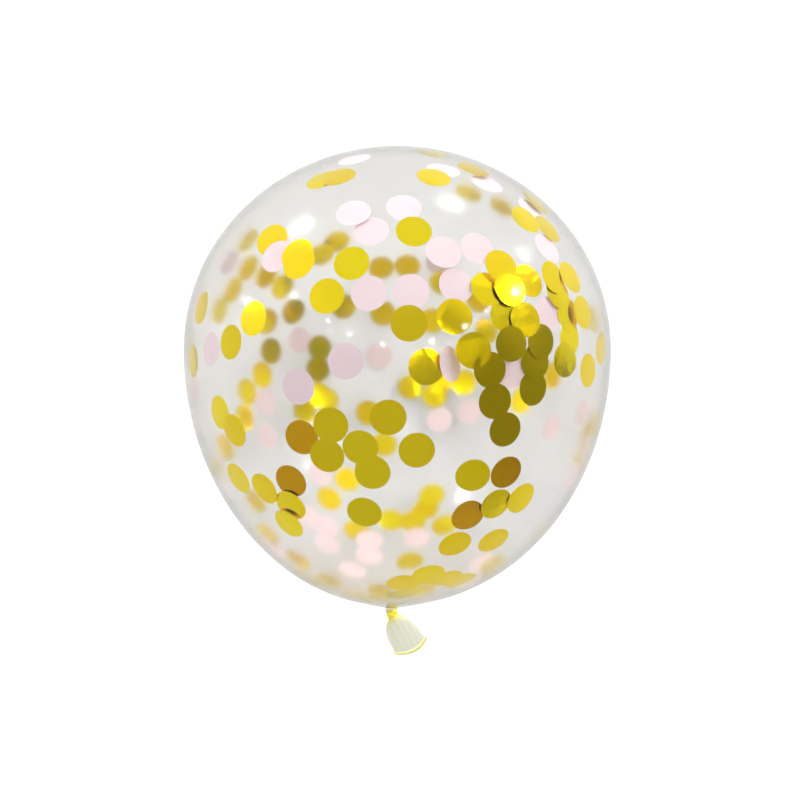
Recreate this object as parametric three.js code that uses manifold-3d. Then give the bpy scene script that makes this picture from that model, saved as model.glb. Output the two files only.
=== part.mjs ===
// A clear party balloon, blown up and tied, lying on its side. It is one dipped latex moulding, so its
// egg-shaped body, its knotted neck and the flattened tail with a rolled lip are a single piece.
// Millimetres, +Z up. The length lies along Y, with the crown towards +Y and the tail towards -Y.
// The origin is the middle of the small flat where the side of the body presses on the floor.
import * as THREE from "three";
import { mergeVertices } from "three/addons/utils/BufferGeometryUtils.js";
import Module from "manifold-3d";

// Body: two half ellipsoids that share the widest ring
const bodyRadius = 143.5; // half the width at the widest ring
const crownLength = 136.5; // widest ring to the crown
const shoulderLength = 172; // widest ring to where the film would close at the neck
const flatSpotDepth = 1.4; // how far the floor presses the side in
const neckCone = 3; // the film is drawn out this much further round the neck
const neckConeReach = 16; // and this far from the neck's middle the cone has mostly faded

// Neck: the gathered stem between the film and the tail
const neckRadius = 3.6;
const neckFillet = 2.4; // the film turns into the stem over this radius
const neckDrift = 4.4; // the stem stands this far off the crown's axis, towards -X
const neckDriftPower = 8; // the film only follows it over the last part before the neck
const neckSteps = 5;

// Knot: two turns of the neck drawn tight round itself, the second one crossing the first
const knotRoll = 1.2; // radius of the rolled latex in one turn
const knotBite = 0.9; // how deep a turn sinks into the stem
const knotLength = 5.2; // end of the film to the waist below the knot
const knotLean = THREE.MathUtils.degToRad(14); // the knot leans this far from the axis, towards +X
const turnLean = THREE.MathUtils.degToRad(16); // each turn leans this far from square to the knot

// Tail: the slack end of the neck, a flattened open tube that leans towards +X
const tailLean = THREE.MathUtils.degToRad(32);
const tailLength = 23; // waist to the corners of the mouth
const waistRadius = 3.3;
const mouthHalfWidth = 11.3;
const mouthHalfThickness = 2.7;
const flareLength = 4.5; // the tail has made two thirds of its flare after this length
const tailWall = 0.35;
const pocketDepth = 18.5; // the open tail closes this far in from its mouth
const mouthBow = 3.4; // the middle of the mouth stands out this far past its corners
const mouthSkew = Math.tan(THREE.MathUtils.degToRad(7)); // the +X corner is the longer one

// Lip: the edge of the mouth, rolled up on itself when the balloon was made
const lipRadius = 1.15;

// Facets
const bodySegments = 60;
const crownRows = 13;
const shoulderRows = 15;
const tailSegments = 36;
const wallRows = 9;
const lipRows = 8;
const knotSegments = 26;
const knotRows = 10;

const wasm = await Module();
wasm.setup();

// A closed three.js geometry as a solid that can be joined and cut.
function solidOf(geometry) {
  const bare = geometry.clone().deleteAttribute("normal").deleteAttribute("uv");
  const merged = mergeVertices(bare, 1e-4);
  return new wasm.Manifold(
    new wasm.Mesh({
      numProp: 3,
      vertProperties: merged.attributes.position.array,
      triVerts: new Uint32Array(merged.index.array),
    }),
  );
}

// A solid back as a three.js geometry with a flat normal for each facet.
function geometryOf(solid) {
  const { vertProperties, triVerts } = solid.getMesh();
  const indexed = new THREE.BufferGeometry()
    .setAttribute("position", new THREE.BufferAttribute(vertProperties, 3))
    .setIndex(new THREE.BufferAttribute(triVerts, 1));
  const faceted = indexed.toNonIndexed();
  faceted.computeVertexNormals();
  return faceted;
}

// Moves every vertex of a geometry by a function that changes it in place.
function reshape(geometry, move) {
  const positions = geometry.attributes.position;
  const vertex = new THREE.Vector3();
  for (let i = 0; i < positions.count; i++) {
    vertex.fromBufferAttribute(positions, i);
    move(vertex);
    positions.setXYZ(i, vertex.x, vertex.y, vertex.z);
  }
  return geometry;
}

// How much further the film is drawn out at a distance from the neck's middle.
function coneAt(radius) {
  return neckCone * Math.exp(-((radius / neckConeReach) ** 2));
}

// The film stops where the fillet into the stem begins, and the stem starts where the fillet ends.
const filletCentreX = neckRadius + neckFillet;
const filmEndAngle = Math.acos(filletCentreX / bodyRadius);
const filmEndY = -shoulderLength * Math.sin(filmEndAngle) - coneAt(filletCentreX);
const stemY = filmEndY - neckFillet;

// The body with its stem, round its own axis, and then drawn sideways towards the drifting neck.
function bodySolid() {
  const shoulder = new THREE.EllipseCurve(0, 0, bodyRadius, shoulderLength, -filmEndAngle, 0);
  const crown = new THREE.EllipseCurve(0, 0, bodyRadius, crownLength, 0, Math.PI / 2);
  const fillet = new THREE.EllipseCurve(
    filletCentreX, stemY, neckFillet, neckFillet, Math.PI, Math.PI / 2, true,
  );
  const stemEnd = stemY - knotLength / 2;
  const profile = [
    new THREE.Vector2(0, stemEnd),
    new THREE.Vector2(neckRadius, stemEnd),
    ...fillet.getPoints(neckSteps),
  ];
  for (let i = 1; i <= shoulderRows; i++) {
    const point = shoulder.getPoint((i / shoulderRows) ** 1.3); // rows lie closer at the neck
    profile.push(new THREE.Vector2(point.x, point.y - coneAt(point.x)));
  }
  profile.push(...crown.getPoints(crownRows).slice(1));
  profile.at(-1).x = 0;
  const body = new THREE.LatheGeometry(profile, bodySegments);
  return solidOf(
    reshape(body, (p) => {
      const alongNeck = THREE.MathUtils.clamp(p.y / stemY, 0, 1);
      p.x -= neckDrift * alongNeck ** neckDriftPower;
    }),
  );
}

// Half the width of the flat tail, a distance u below the waist: a quick flare that then levels out.
function tailHalfWidth(u) {
  return waistRadius + (mouthHalfWidth - waistRadius) * (1 - Math.exp(-Math.max(u, 0) / flareLength));
}

// Half the thickness of the tail at the same place.
function tailHalfThickness(u) {
  const share = THREE.MathUtils.clamp(u / tailLength, 0, 1);
  return THREE.MathUtils.lerp(waistRadius, mouthHalfThickness, share);
}

// The tail in the neck's own frame: the stem's end is at the origin and the mouth is down -Y.
// Its profile runs down the outside, round the lip and back up the inside. A round tube is turned
// from it first, each ring is then pressed flat without thinning the wall, and all of it below the
// knot is bent at the waist.
function tailSolid() {
  const waistY = -knotLength;
  const waist = new THREE.Vector3(0, waistY, 0);
  const zAxis = new THREE.Vector3(0, 0, 1);
  const mouthY = waistY - tailLength;
  const pocketY = mouthY + pocketDepth;
  const lipCentre = tailHalfWidth(tailLength) - tailWall / 2;
  const lipStart = Math.acos(tailWall / 2 / lipRadius);
  const profile = [new THREE.Vector2(0, neckRadius), new THREE.Vector2(neckRadius, neckRadius)];
  const outerEnd = mouthY + lipRadius * Math.sin(lipStart);
  for (let i = 0; i < wallRows; i++) {
    const y = THREE.MathUtils.lerp(waistY, outerEnd, (i / wallRows) ** 1.4);
    profile.push(new THREE.Vector2(tailHalfWidth(waistY - y), y));
  }
  const lip = new THREE.EllipseCurve(
    lipCentre, mouthY, lipRadius, lipRadius, lipStart, -Math.PI - lipStart, true,
  );
  profile.push(...lip.getPoints(lipRows));
  for (let i = 1; i <= wallRows; i++) {
    const y = THREE.MathUtils.lerp(outerEnd, pocketY, i / wallRows);
    profile.push(new THREE.Vector2(tailHalfWidth(waistY - y) - tailWall, y));
  }
  profile.push(new THREE.Vector2(0, pocketY + tailWall));
  const tube = new THREE.LatheGeometry(profile.reverse(), tailSegments);
  return solidOf(
    reshape(tube, (p) => {
      const u = waistY - p.y;
      const width = tailHalfWidth(u);
      const radius = Math.hypot(p.x, p.z);
      const nearWall = Math.min(1, radius / (width - 2 * lipRadius));
      const sine = radius > 0 ? p.z / radius : 0;
      p.z -= (width - tailHalfThickness(u)) * sine * nearWall;
      const nearMouth = THREE.MathUtils.smoothstep(u, 0, tailLength);
      const fromCorner = Math.max(0, 1 - (p.x / mouthHalfWidth) ** 2);
      p.y -= (mouthBow * fromCorner + mouthSkew * p.x) * nearMouth;
      if (u > -knotLength / 2) {
        p.sub(waist).applyAxisAngle(zAxis, tailLean - knotLean).add(waist);
      }
    }),
  );
}

// One turn of the knot: a ring round the stem, leaning by the given angle about X.
function knotTurn(y, lean) {
  const ringRadius = neckRadius + knotRoll - 2 * knotBite;
  const turn = new THREE.TorusGeometry(ringRadius, knotRoll, knotRows, knotSegments);
  turn.rotateX(Math.PI / 2 + lean);
  turn.translate(0, y, 0);
  return solidOf(turn);
}

// The knot and the tail together, turned to the knot's lean and moved to the end of the neck.
function tiedEndSolid() {
  const firstTurn = knotTurn(-knotRoll, turnLean);
  const secondTurn = knotTurn(-knotLength + knotRoll, -turnLean);
  const inNeckFrame = tailSolid().add(firstTurn).add(secondTurn);
  const placed = reshape(geometryOf(inNeckFrame), (p) => {
    p.applyAxisAngle(new THREE.Vector3(0, 0, 1), knotLean);
    p.add(new THREE.Vector3(-neckDrift, stemY, 0));
  });
  return solidOf(placed);
}

// The slab of floor that presses the flat into the side of the body.
function floorSolid() {
  const size = 4 * (bodyRadius + crownLength + shoulderLength);
  const floor = new THREE.BoxGeometry(size, size, bodyRadius);
  floor.translate(0, 0, flatSpotDepth - 1.5 * bodyRadius);
  return solidOf(floor);
}

const clearLatex = new THREE.MeshStandardMaterial({
  color: "#e6e5de",
  roughness: 0.12,
  metalness: 0,
  transparent: true,
  opacity: 0.3,
});

const balloonSolid = bodySolid().add(tiedEndSolid()).subtract(floorSolid());
const balloon = new THREE.Mesh(geometryOf(balloonSolid), clearLatex);
balloon.name = "balloon";
balloon.position.z = bodyRadius - flatSpotDepth;

const part = new THREE.Group();
part.add(balloon);

export default part;
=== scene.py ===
"""A clear confetti balloon on its side: blown latex, a knotted neck with its slack tail, and the gold foil and
pink tissue discs that cling to the inside of the film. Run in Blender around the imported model."""

import math
import random

import bmesh
import bpy
from mathutils import Matrix, Vector
from mathutils.bvhtree import BVHTree


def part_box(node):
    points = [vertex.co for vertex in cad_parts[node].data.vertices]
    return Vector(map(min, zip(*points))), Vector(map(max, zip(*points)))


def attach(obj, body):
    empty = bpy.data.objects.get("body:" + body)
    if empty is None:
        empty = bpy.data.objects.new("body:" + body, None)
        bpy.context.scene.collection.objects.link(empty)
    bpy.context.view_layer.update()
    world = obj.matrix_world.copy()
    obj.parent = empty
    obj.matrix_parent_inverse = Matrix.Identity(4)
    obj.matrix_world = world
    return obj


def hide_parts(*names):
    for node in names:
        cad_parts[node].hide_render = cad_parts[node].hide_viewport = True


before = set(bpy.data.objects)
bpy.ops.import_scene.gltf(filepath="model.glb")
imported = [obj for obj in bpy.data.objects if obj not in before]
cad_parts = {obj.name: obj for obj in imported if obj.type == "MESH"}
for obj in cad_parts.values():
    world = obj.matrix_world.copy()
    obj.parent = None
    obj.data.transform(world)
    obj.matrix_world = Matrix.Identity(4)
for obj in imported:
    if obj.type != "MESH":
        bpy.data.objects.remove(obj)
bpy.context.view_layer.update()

# Camera. It looks straight down on the lying balloon, so that the crown is at the top of the picture and
# the tail hangs down in it, as the photograph shows the balloon. The lens is a plain 50 mm.
balloon_low, balloon_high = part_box("balloon")
BODY_RADIUS = (balloon_high.x - balloon_low.x) / 2
CROWN_LENGTH = balloon_high.y
AXIS_HEIGHT = balloon_high.z - BODY_RADIUS
CAMERA_ABOVE_AXIS = 0.7595
CAMERA_PLACE = Vector((0.0018, -0.0334, AXIS_HEIGHT + CAMERA_ABOVE_AXIS))
LENS_MM = 50
SENSOR_MM = 36
PICTURE_PIXELS = 800

camera = bpy.data.objects.new("camera", bpy.data.cameras.new("camera"))
camera.data.lens = LENS_MM
camera.data.sensor_width = SENSOR_MM
camera.location = CAMERA_PLACE
bpy.context.collection.objects.link(camera)
bpy.context.scene.camera = camera


def line_of_sight(pixel):
    """The direction from the camera through a pixel of the photograph's 800 x 800 frame."""
    pixels_per_metre = LENS_MM / SENSOR_MM * PICTURE_PIXELS
    across = (pixel[0] - PICTURE_PIXELS / 2) / pixels_per_metre
    up = (PICTURE_PIXELS / 2 - pixel[1]) / pixels_per_metre
    return Vector((across, up, -1)).normalized()


# Inflated body. Clear natural latex, dipped on a former and blown up until the film is about a tenth of a
# millimetre thick, an egg with its blunt end at the crown. It gathers into fine pleats where the neck is tied.
SHOULDER_LENGTH = 0.172
FILM_THICKNESS = 0.00012
FLAT_SOFTNESS = 0.0005
NECK_RADIUS = 0.0036
NECK_FILLET = 0.0024
NECK_DRIFT = -0.0044
NECK_DRIFT_POWER = 8
NECK_CONE = 0.003
NECK_CONE_REACH = 0.016
STEM_LENGTH = 0.001
PLEATS = 22
PLEAT_DEPTH = 0.02
PLEAT_REACH = 0.012
TURN_STEPS = 132
CROWN_STEPS = 40
SHOULDER_STEPS = 52
SHOULDER_ROW_POWER = 1.3
FILLET_STEPS = 6


def cone_at(radius):
    """How much further the film is drawn out at a distance from the neck's middle."""
    return NECK_CONE * math.exp(-((radius / NECK_CONE_REACH) ** 2))


fillet_centre = NECK_RADIUS + NECK_FILLET
film_end_angle = math.acos(fillet_centre / BODY_RADIUS)
STEM_TOP = -SHOULDER_LENGTH * math.sin(film_end_angle) - cone_at(fillet_centre) - NECK_FILLET


def drift_at(along):
    """How far the film is drawn sideways, towards the neck, at a place along the balloon."""
    return NECK_DRIFT * min(max(along / STEM_TOP, 0), 1) ** NECK_DRIFT_POWER


def film_profile():
    """Half the outline of the body, from the crown to the end of the stem, as (radius, place along Y)."""
    outline = []
    for i in range(CROWN_STEPS):
        angle = math.pi / 2 * (1 - i / CROWN_STEPS)
        outline.append((BODY_RADIUS * math.cos(angle), CROWN_LENGTH * math.sin(angle)))
    for i in range(SHOULDER_STEPS + 1):
        angle = -film_end_angle * (1 - (1 - i / SHOULDER_STEPS) ** SHOULDER_ROW_POWER)
        radius = BODY_RADIUS * math.cos(angle)
        outline.append((radius, SHOULDER_LENGTH * math.sin(angle) - cone_at(radius)))
    for i in range(1, FILLET_STEPS + 1):
        angle = math.pi / 2 * (1 + i / FILLET_STEPS)
        radius = fillet_centre + NECK_FILLET * math.cos(angle)
        outline.append((radius, STEM_TOP + NECK_FILLET * math.sin(angle)))
    outline.append((NECK_RADIUS, STEM_TOP - STEM_LENGTH))
    outline.append((0, STEM_TOP - STEM_LENGTH))
    return outline


def spun(outline, steps):
    """A closed surface turned round the Y axis from its half outline, with its faces pointing out."""
    mesh = bmesh.new()
    ring = [mesh.verts.new((radius, along, 0)) for radius, along in outline]
    edges = [mesh.edges.new(pair) for pair in zip(ring, ring[1:])]
    bmesh.ops.spin(
        mesh, geom=ring + edges, cent=(0, 0, 0), axis=(0, 1, 0),
        angle=math.tau, steps=steps, use_merge=True,
    )
    bmesh.ops.remove_doubles(mesh, verts=mesh.verts, dist=1e-6)
    bmesh.ops.recalc_face_normals(mesh, faces=mesh.faces)
    return mesh


def shape_film(mesh):
    """Draws the neck sideways, gathers the pleats at it and presses the flat spot that the balloon lies on."""
    for vertex in mesh.verts:
        place = vertex.co
        gathered = math.exp(-max(place.y - STEM_TOP, 0) / PLEAT_REACH)
        pleat = 1 + PLEAT_DEPTH * gathered * math.cos(PLEATS * math.atan2(place.z, place.x))
        place.x = place.x * pleat + drift_at(place.y)
        height = AXIS_HEIGHT + place.z * pleat
        place.z = (height + math.hypot(height, FLAT_SOFTNESS)) / 2 if height < 0.01 else height


def as_piece(name, mesh, material):
    """Makes the finished mesh a piece that rides on the part's one body."""
    data = bpy.data.meshes.new(name)
    mesh.to_mesh(data)
    piece = bpy.data.objects.new(name, data)
    bpy.context.collection.objects.link(piece)
    data.materials.append(material)
    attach(piece, "root")
    return piece


def linear(hex_colour):
    """An sRGB hex colour such as "#e8e4da" as the linear values that a shader takes."""
    shares = [int(hex_colour[i : i + 2], 16) / 255 for i in (1, 3, 5)]
    return [s / 12.92 if s <= 0.04045 else ((s + 0.055) / 1.055) ** 2.4 for s in shares] + [1]


def add_node(tree, kind, sockets, **settings):
    """Adds a node. A socket takes the value given for it, or a link where that is another node's output."""
    node = tree.nodes.new(kind)
    for name, value in settings.items():
        setattr(node, name, value)
    for name, value in sockets.items():
        if isinstance(value, bpy.types.NodeSocket):
            tree.links.new(value, node.inputs[name])
        else:
            node.inputs[name].default_value = value
    return node


def new_material(name):
    """A new, empty material and its node tree."""
    material = bpy.data.materials.new(name)
    material.use_nodes = True
    material.node_tree.nodes.clear()
    return material, material.node_tree


# Natural latex, dipped: clear where it is blown thin, but with a haze that softens what lies far behind it.
# It is too thin to bend the light, so its gloss is a coat. It is a little warmer just before the neck.
clear_latex, tree = new_material("blown natural latex")
where = add_node(tree, "ShaderNodeTexCoord", {})
along = add_node(tree, "ShaderNodeSeparateXYZ", {"Vector": where.outputs["Object"]})
towards_neck = add_node(
    tree, "ShaderNodeMapRange",
    {"Value": along.outputs["Y"], "From Min": -0.12, "From Max": STEM_TOP},
)
straw_tint = add_node(
    tree, "ShaderNodeMix",
    {"Factor": towards_neck.outputs["Result"], "A": linear("#ececec"), "B": linear("#ede9e1")},
    data_type="RGBA",
)
edge_on = add_node(tree, "ShaderNodeLayerWeight", {"Blend": 0.25})
film_colour = add_node(
    tree, "ShaderNodeMix",
    {"Factor": edge_on.outputs["Facing"], "A": straw_tint.outputs["Result"], "B": linear("#dfdddb")},
    data_type="RGBA",
)
unevenness = add_node(
    tree, "ShaderNodeTexNoise",
    {"Vector": where.outputs["Object"], "Scale": 28, "Detail": 2},
)
film_bump = add_node(
    tree, "ShaderNodeBump",
    {"Height": unevenness.outputs["Fac"], "Strength": 0.05, "Distance": 0.002},
)
film_shader = add_node(
    tree, "ShaderNodeBsdfPrincipled",
    {
        "Base Color": film_colour.outputs["Result"], "Roughness": 0.2, "IOR": 1.08,
        "Transmission Weight": 1.0, "Normal": film_bump.outputs["Normal"],
        "Coat Weight": 0.18, "Coat Roughness": 0.05, "Coat Normal": film_bump.outputs["Normal"],
    },
)
add_node(tree, "ShaderNodeOutputMaterial", {"Surface": film_shader.outputs["BSDF"]})

film = spun(film_profile(), TURN_STEPS)
shape_film(film)
for face in film.faces:
    face.smooth = True
film_tree = BVHTree.FromBMesh(film)
body = as_piece("inflated_body", film, clear_latex)
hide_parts("balloon")
wall = body.modifiers.new("film", "SOLIDIFY")
wall.thickness = FILM_THICKNESS
wall.offset = -1


# Knot and tail. The slack end of the neck, about a third of a millimetre thick, so cloudier and yellower than
# the film. It is tied in an overhand knot, and flares to a flattened mouth with a rolled lip.
KNOT_LEAN = math.radians(14)
TAIL_LEAN = math.radians(32)
KNOT_LENGTH = 0.0052
TAIL_LENGTH = 0.023
WAIST_RADIUS = 0.0033
MOUTH_HALF_WIDTH = 0.0113
MOUTH_HALF_THICKNESS = 0.0027
FLARE_LENGTH = 0.0045
TAIL_WALL = 0.00035
POCKET_DEPTH = 0.0185
MOUTH_BOW = 0.0034
MOUTH_SKEW = math.tan(math.radians(7))
LIP_RADIUS = 0.00115
WALL_STEPS = 26
LIP_STEPS = 12
TAIL_TURN_STEPS = 72
CREASES = 9
CREASE_DEPTH = 0.00022


def tail_half_width(u):
    """Half the width of the flat tail, a distance u below the waist."""
    return WAIST_RADIUS + (MOUTH_HALF_WIDTH - WAIST_RADIUS) * (1 - math.exp(-max(u, 0) / FLARE_LENGTH))


def tail_profile():
    """Half the outline of the tail before it is flattened: down the outside, round the lip, up the inside."""
    mouth = -KNOT_LENGTH - TAIL_LENGTH
    outline = [(0, 0), (WAIST_RADIUS, 0)]
    for i in range(WALL_STEPS):
        along = -KNOT_LENGTH - (TAIL_LENGTH - LIP_RADIUS) * i / WALL_STEPS
        outline.append((tail_half_width(-KNOT_LENGTH - along), along))
    centre = tail_half_width(TAIL_LENGTH) - TAIL_WALL / 2
    start = math.acos(TAIL_WALL / 2 / LIP_RADIUS)
    for i in range(LIP_STEPS + 1):
        angle = start - (math.pi + 2 * start) * i / LIP_STEPS
        outline.append((centre + LIP_RADIUS * math.cos(angle), mouth + LIP_RADIUS * math.sin(angle)))
    for i in range(1, WALL_STEPS):
        along = mouth + LIP_RADIUS + (POCKET_DEPTH - LIP_RADIUS) * i / WALL_STEPS
        outline.append((tail_half_width(-KNOT_LENGTH - along) - TAIL_WALL, along))
    outline.append((0, mouth + POCKET_DEPTH))
    return outline


def flatten_tail(mesh):
    """Presses the round tube flat without thinning its wall, bows its mouth, and creases it lengthwise."""
    for vertex in mesh.verts:
        place = vertex.co
        u = -KNOT_LENGTH - place.y
        share = min(max(u / TAIL_LENGTH, 0), 1)
        width = tail_half_width(u)
        thickness = WAIST_RADIUS + (MOUTH_HALF_THICKNESS - WAIST_RADIUS) * share
        radius = math.hypot(place.x, place.z)
        near_wall = min(1, radius / (width - 2 * LIP_RADIUS))
        sine = place.z / radius if radius > 0 else 0
        slack = math.sin(math.pi * share)
        crease = CREASE_DEPTH * slack * math.sin(CREASES * place.x / MOUTH_HALF_WIDTH * 2 + 4 * share)
        place.z += crease - (width - thickness) * sine * near_wall
        near_mouth = share * share * (3 - 2 * share)
        from_corner = max(0, 1 - (place.x / MOUTH_HALF_WIDTH) ** 2)
        place.y -= (MOUTH_BOW * from_corner + MOUTH_SKEW * place.x) * near_mouth


tail = spun(tail_profile(), TAIL_TURN_STEPS)
flatten_tail(tail)

# The overhand knot is a trefoil drawn tight: a rolled rope of latex that goes twice round the neck and
# crosses itself three times. A round section is carried along that curve.
KNOT_RING = 0.0020
KNOT_WEAVE = 0.0009
KNOT_ROPE = 0.0013
KNOT_STEPS = 96
ROPE_SIDES = 12


def knot_point(turn):
    """The middle of the rope at an angle along its two turns round the neck."""
    reach = KNOT_RING + KNOT_WEAVE * math.cos(1.5 * turn)
    return Vector((reach * math.cos(turn), KNOT_WEAVE * 1.2 * math.sin(1.5 * turn), reach * math.sin(turn)))


hoops = []
for i in range(KNOT_STEPS):
    turn = 2 * math.tau * i / KNOT_STEPS
    heading = (knot_point(turn + 0.01) - knot_point(turn - 0.01)).normalized()
    side = heading.cross(Vector((0, 1, 0))).normalized()
    up = side.cross(heading)
    basis = Matrix((side, up, heading)).transposed().to_4x4()
    centre = knot_point(turn) - Vector((0, KNOT_LENGTH / 2, 0))
    hoop = bmesh.ops.create_circle(
        tail, segments=ROPE_SIDES, radius=KNOT_ROPE, matrix=Matrix.Translation(centre) @ basis,
    )
    hoops.append([e for e in {e for v in hoop["verts"] for e in v.link_edges}])
knot_faces = []
for first, second in zip(hoops, hoops[1:] + hoops[:1]):
    knot_faces += bmesh.ops.bridge_loops(tail, edges=first + second)["faces"]
bmesh.ops.recalc_face_normals(tail, faces=knot_faces)

# How much latex the eye looks through: one slack wall, the roll of the lip, or the knot.
latex_depth = tail.verts.layers.float.new("latex_depth")
knot_verts = {v for f in knot_faces for v in f.verts}
mouth_start = TAIL_LENGTH - 1.2 * LIP_RADIUS
for vertex in tail.verts:
    u = -KNOT_LENGTH - vertex.co.y
    bow = MOUTH_BOW * max(0, 1 - (vertex.co.x / MOUTH_HALF_WIDTH) ** 2) + MOUTH_SKEW * vertex.co.x
    in_lip = min(max((u - bow - mouth_start) / LIP_RADIUS, 0), 1)
    by_knot = math.exp(-max(u, 0) / 0.002)
    vertex[latex_depth] = 1 if vertex in knot_verts else max(0.65 * in_lip, by_knot)

# The knot leans a little, and the tail is bent further over at the waist below it.
below_knot = [v for v in tail.verts if v not in knot_verts and v.co.y < -KNOT_LENGTH / 2]
bend = Matrix.Rotation(TAIL_LEAN - KNOT_LEAN, 3, "Z")
bmesh.ops.rotate(tail, verts=below_knot, cent=(0, -KNOT_LENGTH, 0), matrix=bend)
bmesh.ops.rotate(tail, verts=tail.verts, cent=(0, 0, 0), matrix=Matrix.Rotation(KNOT_LEAN, 3, "Z"))
bmesh.ops.translate(tail, verts=tail.verts, vec=(NECK_DRIFT, STEM_TOP, AXIS_HEIGHT))
for face in tail.faces:
    face.smooth = True

# Slack latex: translucent, pale straw yellow, deeper where layers of it lie together, with a soft gloss.
slack_latex, tree = new_material("slack natural latex")
depth = add_node(tree, "ShaderNodeAttribute", {}, attribute_name="latex_depth")
straw = add_node(tree, "ShaderNodeValToRGB", {"Fac": depth.outputs["Fac"]})
straw.color_ramp.elements[0].color = linear("#f6f7e2")
straw.color_ramp.elements[1].color = linear("#fbee40")
straw.color_ramp.elements.new(0.5).color = linear("#eeec9c")
where = add_node(tree, "ShaderNodeTexCoord", {})
powder = add_node(
    tree, "ShaderNodeTexNoise",
    {"Vector": where.outputs["Object"], "Scale": 500, "Detail": 4, "Roughness": 0.6},
)
powder_bump = add_node(
    tree, "ShaderNodeBump",
    {"Height": powder.outputs["Fac"], "Strength": 0.25, "Distance": 0.0003},
)
slack_shader = add_node(
    tree, "ShaderNodeBsdfPrincipled",
    {
        "Base Color": straw.outputs["Color"], "Roughness": 0.28, "IOR": 1.52,
        "Transmission Weight": 0.2, "Normal": powder_bump.outputs["Normal"],
    },
)
add_node(tree, "ShaderNodeOutputMaterial", {"Surface": slack_shader.outputs["BSDF"]})
tail_piece = as_piece("knot_and_tail", tail, slack_latex)
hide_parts("balloon")


# Gold foil confetti. Round discs punched from metallised film, 21 mm across, that static holds to the inside
# of the latex. They are springy, so each is a little bowed, and a few are creased.
DISC_RADIUS = 0.0104
DISC_SIDES = 20
DISC_INNER_RING = 0.0045
FOIL_THICKNESS = 0.00006
CLEARANCE = 0.00025
LAYER_STEP = 0.0007
MOST_TILT = 0.055
MOST_BOW = 1 / 0.075
FAR_LEAN = 0.12
SHARP_EDGE = math.radians(60)
GOLD_ROUND_SIDE = 16
PINK_ROUND_SIDE = 8
random.seed(12)
placed = []

# The middle of each disc in the photograph, in pixels. The disc nearest the film comes first.
GOLD_NEAR_CROWN = [(338.5, 175.5), (321, 177), (434, 176), (430, 151), (474, 168), (414, 230)]
GOLD_NEAR_LEFT = [
    (269, 237), (298, 262), (296, 253), (351, 262), (326, 295.5), (252, 318), (229, 342), (200, 307), (192, 361),
    (232.8, 431), (217, 413), (237, 479), (263, 489.5), (287.5, 525), (289, 507),
]
GOLD_NEAR_MIDDLE = [
    (409, 323), (455.5, 315.8), (426.8, 367), (475, 350.5), (388, 418), (417, 451), (330, 425.6), (326, 456.5),
    (360, 448), (372, 474), (364, 513.5),
]
GOLD_NEAR_RIGHT = [
    (511, 288), (502.5, 265), (489.5, 287), (531, 279), (512.5, 343.5), (527.5, 319), (509, 314), (544, 341.5),
    (539, 362), (537.4, 389), (491.5, 370), (497, 402), (508, 431), (572, 276.5), (555.5, 276), (561, 291),
    (584, 312), (572, 313), (567, 360), (575, 338), (589.5, 370.5), (603, 348), (527, 218.5), (549.5, 227),
    (536, 201),
]
GOLD_NEAR_NECK = [
    (474.4, 477.4), (522.3, 499), (497.4, 505.5), (455.5, 545.5), (494.5, 542), (429, 576.5), (447.5, 581.5),
    (403, 585.5), (462, 584), (410.6, 596), (396, 600.3),
]
GOLD_NEAR_ORANGE = [(288.5, 483), (299.5, 438.7), (507, 473), (469.3, 518)]
GOLD_FAR = [
    (336.5, 241), (321, 253), (343.5, 306), (381, 267), (407.5, 265), (265, 275), (281, 286), (292.5, 311),
    (266, 321), (270, 351), (261, 375), (246, 392), (243.5, 418), (319, 348), (317, 369), (383, 313),
    (432, 320.5), (442, 282), (487.3, 331), (505, 366.5), (526, 364.6), (478, 300), (326, 400), (318, 395),
    (303, 411.5), (368, 413), (384, 445), (347, 480), (328.6, 499.6), (391, 521), (357, 531), (432, 496),
    (426, 510), (413, 523), (445, 526), (411, 387), (435.5, 395.5), (441, 381), (465.3, 382.5), (521.6, 401),
    (553, 375.5), (410, 563), (247, 240), (247, 267), (231, 289), (217, 309), (469, 192),
    (503, 206), (224.3, 447.5), (254.5, 502), (297, 561), (329, 582),
]

# How far some discs lean out of the film, as slopes towards the right and the top of the picture. It is read
# from what they mirror. The creases are (way of the line, its distance from the middle, fold), in degrees and mm.
LEANING = {
    (269, 237): (0.19, -0.2), (351, 262): (0.0, -0.05), (326, 295.5): (0.03, -0.02), (474.4, 477.4): (-0.18, 0.0),
    (475, 350.5): (-0.13, 0.03), (409, 323): (0.0, 0.0), (455.5, 315.8): (-0.02, 0.06), (414, 230): (0.02, -0.05),
    (511, 288): (0.02, 0.03), (502.5, 265): (0.0, -0.02), (489.5, 287): (0.0, 0.04), (454, 364.5): (1.1, 0.2),
    (336.5, 241): (0.0, -0.08), (321, 253): (0.0, -0.08),
}
CREASED = {
    (426.8, 367): (-57, 4.7, 33), (475, 350.5): (8, 6.5, -30), (489.5, 287): (-8, 0.5, 8), (372, 474): (50, 1, 14),
    (455.5, 315.8): (60, 6.5, 18),
}
CURLED = {(455.5, 315.8): 1 / 0.04, (511, 288): 1 / 0.15, (411, 387): 1 / 0.02, (435.5, 395.5): 1 / 0.02}


def outward_at(place):
    """The film's outward direction at a place on it."""
    length = CROWN_LENGTH if place.y > 0 else SHOULDER_LENGTH
    across = place.x - drift_at(place.y)
    height = place.z - AXIS_HEIGHT
    return Vector((across / BODY_RADIUS**2, place.y / length**2, height / BODY_RADIUS**2)).normalized()


def past_film(place):
    """How far a place lies outside the film."""
    nearest, outward = film_tree.find_nearest(place)[:2]
    return (place - nearest).dot(outward)


def on_film(pixel, far):
    """The place on the near or the far film that shows at a pixel of the photograph."""
    sight = line_of_sight(pixel)
    place = film_tree.ray_cast(CAMERA_PLACE, sight)[0]
    if far:
        place = film_tree.ray_cast(place + sight * 0.001, sight)[0]
    return place


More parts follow.
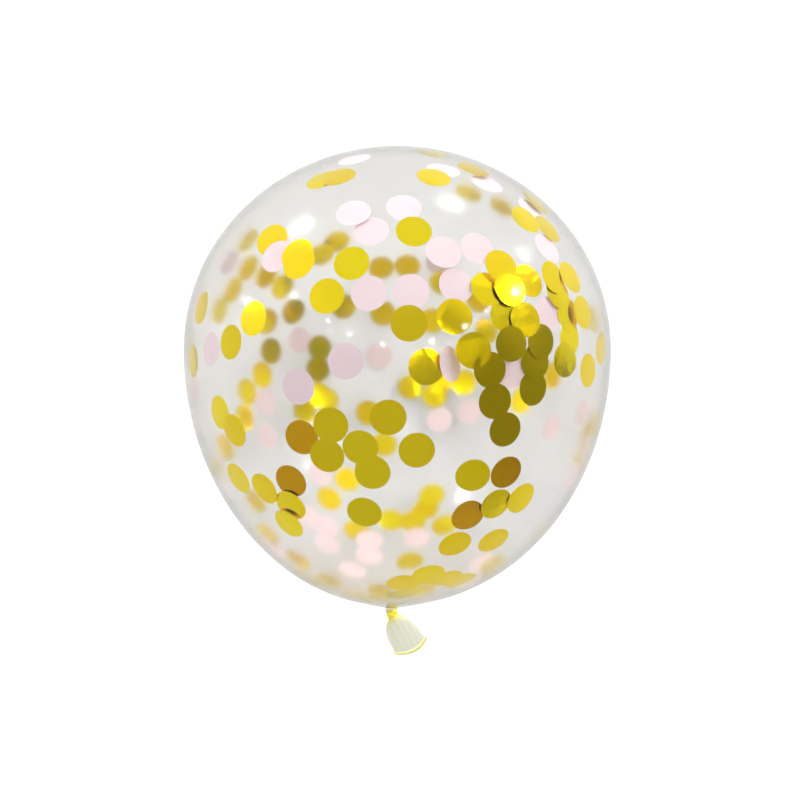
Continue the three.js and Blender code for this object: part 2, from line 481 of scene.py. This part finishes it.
def add_disc(cloud, place, lean, bow, batch, crease=None):
    """Adds a disc that clings to the inside of the film at a place, under the discs that are there already."""
    outward = outward_at(place)
    faces_up = 1 if outward.z > 0 else -1
    stand = Vector((0, 0, 1)).rotation_difference((outward * faces_up + lean).normalized())
    layer = max([count + 1 for other, count in placed if (other - place).length < 2 * DISC_RADIUS], default=0)
    placed.append((place, layer))
    made = bmesh.ops.create_circle(cloud, cap_ends=True, segments=DISC_SIDES, radius=DISC_RADIUS)["verts"]
    faces = list(made[0].link_faces)
    rim = bmesh.ops.inset_region(cloud, faces=faces, thickness=DISC_INNER_RING, use_boundary=True)
    faces += rim["faces"]
    if crease:
        line, offset, fold = math.radians(crease[0]), crease[1] / 1000, math.radians(crease[2])
        across = Vector((-math.sin(line), math.cos(line), 0))
        parts = {g for f in faces for g in [f, *f.edges, *f.verts]}
        cut = bmesh.ops.bisect_plane(cloud, geom=list(parts), plane_co=across * offset, plane_no=across)
        faces = [f for f in cut["geom"] if isinstance(f, bmesh.types.BMFace)]
        for edge in cut["geom_cut"]:
            if isinstance(edge, bmesh.types.BMEdge):
                edge.smooth = False
    batches = cloud.faces.layers.float["batch"]
    for face in faces:
        face[batches] = batch
        face.smooth = True
    bow_way = random.uniform(0, math.pi)
    verts = {v for f in faces for v in f.verts}
    for vertex in verts:
        along = vertex.co.x * math.cos(bow_way) + vertex.co.y * math.sin(bow_way)
        vertex.co.z = -faces_up * bow * along**2 / 2
        if crease and vertex.co.dot(across) > offset:
            vertex.co.z -= (vertex.co.dot(across) - offset) * math.tan(fold)
        vertex.co.rotate(stand)
    rise = max(past_film(place + v.co) for v in verts)
    depth = rise + FILM_THICKNESS + CLEARANCE + layer * LAYER_STEP
    bmesh.ops.translate(cloud, verts=list(verts), vec=place - outward * depth)


def scatter(cloud, pixels, far, least_batch, most_batch):
    """Adds a disc for each pixel, with a small lean and bow of its own."""
    for pixel in pixels:
        place = on_film(pixel, far)
        lean = Vector((random.uniform(-1, 1), random.uniform(-1, 1), 0)) * MOST_TILT
        if far:
            lean -= outward_at(place) * FAR_LEAN
        if pixel in LEANING:
            lean = Vector((*LEANING[pixel], 0))
        lean.z = 0
        bow = CURLED.get(pixel, random.uniform(-0.2, 1) * MOST_BOW)
        batch = random.uniform(least_batch, most_batch)
        add_disc(cloud, place, lean, bow, batch, CREASED.get(pixel))


def scatter_round_side(cloud, count):
    """Adds discs round the side of the balloon, where the picture doesn't show them."""
    for _ in range(count):
        turn = math.radians(random.uniform(165, 375))
        height = random.uniform(-0.03, 0.01)
        girth = math.sqrt(1 - (height / BODY_RADIUS) ** 2)
        length = CROWN_LENGTH if math.sin(turn) > 0 else SHOULDER_LENGTH
        along = length * girth * math.sin(turn)
        place = Vector((BODY_RADIUS * girth * math.cos(turn) + drift_at(along), along, AXIS_HEIGHT + height))
        lean = Vector((random.uniform(-1, 1), random.uniform(-1, 1), 0)) * MOST_TILT
        add_disc(cloud, place, lean, random.uniform(0, 1) * MOST_BOW, random.uniform(0.3, 1))


def finish_discs(cloud, thickness):
    """Gives the discs their thickness, with a sharp edge."""
    bmesh.ops.solidify(cloud, geom=cloud.faces[:], thickness=thickness)
    for edge in cloud.edges:
        if edge.calc_face_angle(0) > SHARP_EDGE:
            edge.smooth = False


gold_discs = bmesh.new()
gold_discs.faces.layers.float.new("batch")
for pixels in [GOLD_NEAR_CROWN, GOLD_NEAR_LEFT, GOLD_NEAR_MIDDLE, GOLD_NEAR_RIGHT, GOLD_NEAR_NECK]:
    scatter(gold_discs, pixels, False, 0.3, 1)
scatter(gold_discs, GOLD_NEAR_ORANGE, False, 0, 0.06)
scatter(gold_discs, GOLD_FAR, True, 0.3, 1)

# Metallised polyester film with a lemon gold lacquer: a mirror with a slight grain, so its colour is what
# it reflects, and still yellow at its edge. Batches differ a little, and the sheet is never quite flat.
gold_foil, tree = new_material("lemon gold metallised film")
batch = add_node(tree, "ShaderNodeAttribute", {}, attribute_name="batch")
gold = add_node(tree, "ShaderNodeValToRGB", {"Fac": batch.outputs["Fac"]})
gold.color_ramp.elements[0].color = linear("#edb000")
gold.color_ramp.elements[1].color = linear("#fce605")
gold.color_ramp.elements.new(0.25).color = linear("#f8d600")
where = add_node(tree, "ShaderNodeTexCoord", {})
ripples = add_node(
    tree, "ShaderNodeTexNoise",
    {"Vector": where.outputs["Object"], "Scale": 160, "Detail": 3},
)
foil_bump = add_node(
    tree, "ShaderNodeBump",
    {"Height": ripples.outputs["Fac"], "Strength": 0.2, "Distance": 0.001},
)
foil_shader = add_node(
    tree, "ShaderNodeBsdfPrincipled",
    {
        "Base Color": gold.outputs["Color"], "Metallic": 1.0, "Roughness": 0.14,
        "Specular Tint": linear("#ffffdc"), "Normal": foil_bump.outputs["Normal"],
    },
)
add_node(tree, "ShaderNodeOutputMaterial", {"Surface": foil_shader.outputs["BSDF"]})


# Pink tissue confetti. Round discs of pale pink tissue paper, 21 mm across, that lie under the foil ones
# or between them.
TISSUE_THICKNESS = 0.00004
PINK_NEAR = [
    (354, 158), (444, 167), (488, 181), (533.8, 207), (404, 205), (353, 211.5), (371, 229), (274, 254),
    (209.7, 349), (368.7, 292.5), (411.4, 290), (444, 251), (479, 246), (458, 283), (550.3, 246), (553, 312.5),
    (345, 361), (297.6, 387), (454, 364.5), (517, 370.5),
]
PINK_FAR = [
    (264, 402), (266, 437), (470, 412), (553, 428), (584, 413), (590, 432), (309, 518), (325, 528), (326, 547),
    (369, 542), (369, 558), (352, 571), (320, 474), (417, 541), (482, 564), (379, 356), (299, 340), (228, 261),
    (439, 262), (440, 420),
]
pink_discs = bmesh.new()
pink_discs.faces.layers.float.new("batch")
scatter(pink_discs, PINK_NEAR, False, 0, 1)
scatter(pink_discs, PINK_FAR, True, 0, 1)
scatter_round_side(gold_discs, GOLD_ROUND_SIDE)
scatter_round_side(pink_discs, PINK_ROUND_SIDE)

# Tissue paper: matt, almost white, with a cloudy look of long fibres.
pink_tissue, tree = new_material("pale pink tissue paper")
where = add_node(tree, "ShaderNodeTexCoord", {})
fibres = add_node(
    tree, "ShaderNodeTexNoise",
    {"Vector": where.outputs["Object"], "Scale": 450, "Detail": 5, "Distortion": 1.5},
)
pink = add_node(
    tree, "ShaderNodeMix",
    {"Factor": fibres.outputs["Fac"], "A": linear("#ecd4da"), "B": linear("#f4e1e5")},
    data_type="RGBA",
)
paper_bump = add_node(
    tree, "ShaderNodeBump",
    {"Height": fibres.outputs["Fac"], "Strength": 0.2, "Distance": 0.0002},
)
paper_shader = add_node(
    tree, "ShaderNodeBsdfPrincipled",
    {
        "Base Color": pink.outputs["Result"], "Roughness": 0.85, "IOR": 1.5,
        "Normal": paper_bump.outputs["Normal"],
    },
)
add_node(tree, "ShaderNodeOutputMaterial", {"Surface": paper_shader.outputs["BSDF"]})
finish_discs(gold_discs, FOIL_THICKNESS)
finish_discs(pink_discs, TISSUE_THICKNESS)
as_piece("gold_foil_confetti", gold_discs, gold_foil)
as_piece("pink_tissue_confetti", pink_discs, pink_tissue)


# Floor and light. A white studio floor that is lit from below as a light table is, and a studio that is
# bright behind the crown and darker on the camera's side, which the foil shows as olive.
FLOOR_SIZE = 12
floor_mesh = bmesh.new()
bmesh.ops.create_grid(floor_mesh, x_segments=1, y_segments=1, size=FLOOR_SIZE / 2)
floor_data = bpy.data.meshes.new("floor")
floor_mesh.to_mesh(floor_data)
floor = bpy.data.objects.new("floor", floor_data)
bpy.context.collection.objects.link(floor)
white_floor, tree = new_material("white floor")
floor_shader = add_node(
    tree, "ShaderNodeBsdfPrincipled",
    {
        "Base Color": linear("#f2f2f2"), "Roughness": 0.9,
        "Emission Color": linear("#ffffff"), "Emission Strength": 0.25,
    },
)
add_node(tree, "ShaderNodeOutputMaterial", {"Surface": floor_shader.outputs["BSDF"]})
floor_data.materials.append(white_floor)

# The studio, as the foil mirrors it: grey overhead, bright beyond the crown, dark on the right.
STUDIO_GREY = 0.72
world = bpy.data.worlds.new("studio")
world.use_nodes = True
world.node_tree.nodes.clear()
tree = world.node_tree
sky = add_node(tree, "ShaderNodeTexCoord", {})
level = STUDIO_GREY
for way, first_dot, last_dot, change in [
    ((-0.35, 0.94, 0.0), 0.1, 0.55, 0.45),
    ((-0.87, 0.50, 0.0), 0.8, 0.97, 0.35),
    ((0.78, 0.54, 0.31), 0.75, 1.0, 0.4),
    ((0.90, -0.08, 0.42), 0.6, 0.95, -0.4),
]:
    facing = add_node(
        tree, "ShaderNodeVectorMath", {0: sky.outputs["Generated"], 1: Vector(way).normalized()},
        operation="DOT_PRODUCT",
    )
    lobe = add_node(
        tree, "ShaderNodeMapRange",
        {"Value": facing.outputs["Value"], "From Min": first_dot, "From Max": last_dot, "To Max": change},
        interpolation_type="SMOOTHSTEP",
    )
    total = add_node(tree, "ShaderNodeMath", {0: level, 1: lobe.outputs["Result"]}, operation="ADD")
    level = total.outputs["Value"]
background = add_node(tree, "ShaderNodeBackground", {"Color": linear("#ffffff"), "Strength": level})
add_node(tree, "ShaderNodeOutputWorld", {"Surface": background.outputs["Background"]})
bpy.context.scene.world = world
bpy.context.scene.view_settings.view_transform = "Standard"

# Lamps. Each stands where the film mirrors it at the pixel where the photograph shows its highlight. A film
# this thin hardly dims them, so it isn't allowed to cast their shadow.
let_through = bpy.data.collections.new("lets the lamps through")
let_through.objects.link(body)
let_through.collection_objects[0].light_linking.link_state = "EXCLUDE"


def add_lamp(name, pixel, distance, size, power):
    """A square lamp that fades from its middle to nothing at its edge, as a lit diffuser does."""
    place = on_film(pixel, False)
    away = line_of_sight(pixel).reflect(outward_at(place))
    lamp = bpy.data.objects.new(name, bpy.data.lights.new(name, "AREA"))
    lamp.data.size = size
    lamp.data.energy = power
    lamp.data.use_nodes = True
    lamp_tree = lamp.data.node_tree
    lamp_tree.nodes.clear()
    spot = add_node(lamp_tree, "ShaderNodeNewGeometry", {})
    from_middle = add_node(
        lamp_tree, "ShaderNodeVectorMath", {0: spot.outputs["Parametric"], 1: (0.5, 0.5, 0)},
        operation="DISTANCE",
    )
    fade = add_node(
        lamp_tree, "ShaderNodeMapRange",
        {"Value": from_middle.outputs["Value"], "From Min": 0.5, "From Max": 0.0, "To Max": 4.0},
        interpolation_type="SMOOTHSTEP",
    )
    glow = add_node(lamp_tree, "ShaderNodeEmission", {"Strength": fade.outputs["Result"]})
    add_node(lamp_tree, "ShaderNodeOutputLight", {"Surface": glow.outputs["Emission"]})
    lamp.location = place + away * distance
    lamp.rotation_euler = away.to_track_quat("Z", "Y").to_euler()
    lamp.light_linking.blocker_collection = let_through
    bpy.context.collection.objects.link(lamp)


# Each row: the lamp, the pixels of its highlights, its distance and its width in metres, and its watts.
LAMPS = [
    ("softbox", [(302, 228), (450, 205)], 0.8, 0.22, 1.05),
    ("softbox", [(523, 255)], 0.8, 0.13, 0.5),
    ("window", [(295, 296), (248, 301)], 1.2, 0.12, 0.7),
    ("bright window", [(515, 292)], 1.2, 0.12, 3.0),
    ("ceiling lamp", [(329, 321), (350, 334), (383, 344), (431, 340), (486, 311)], 1.6, 0.09, 0.7),
    ("bright ceiling lamp", [(465, 327)], 1.6, 0.12, 1.3),
]
for name, highlights, distance, size, power in LAMPS:
    for pixel in highlights:
        add_lamp(name, pixel, distance, size, power)
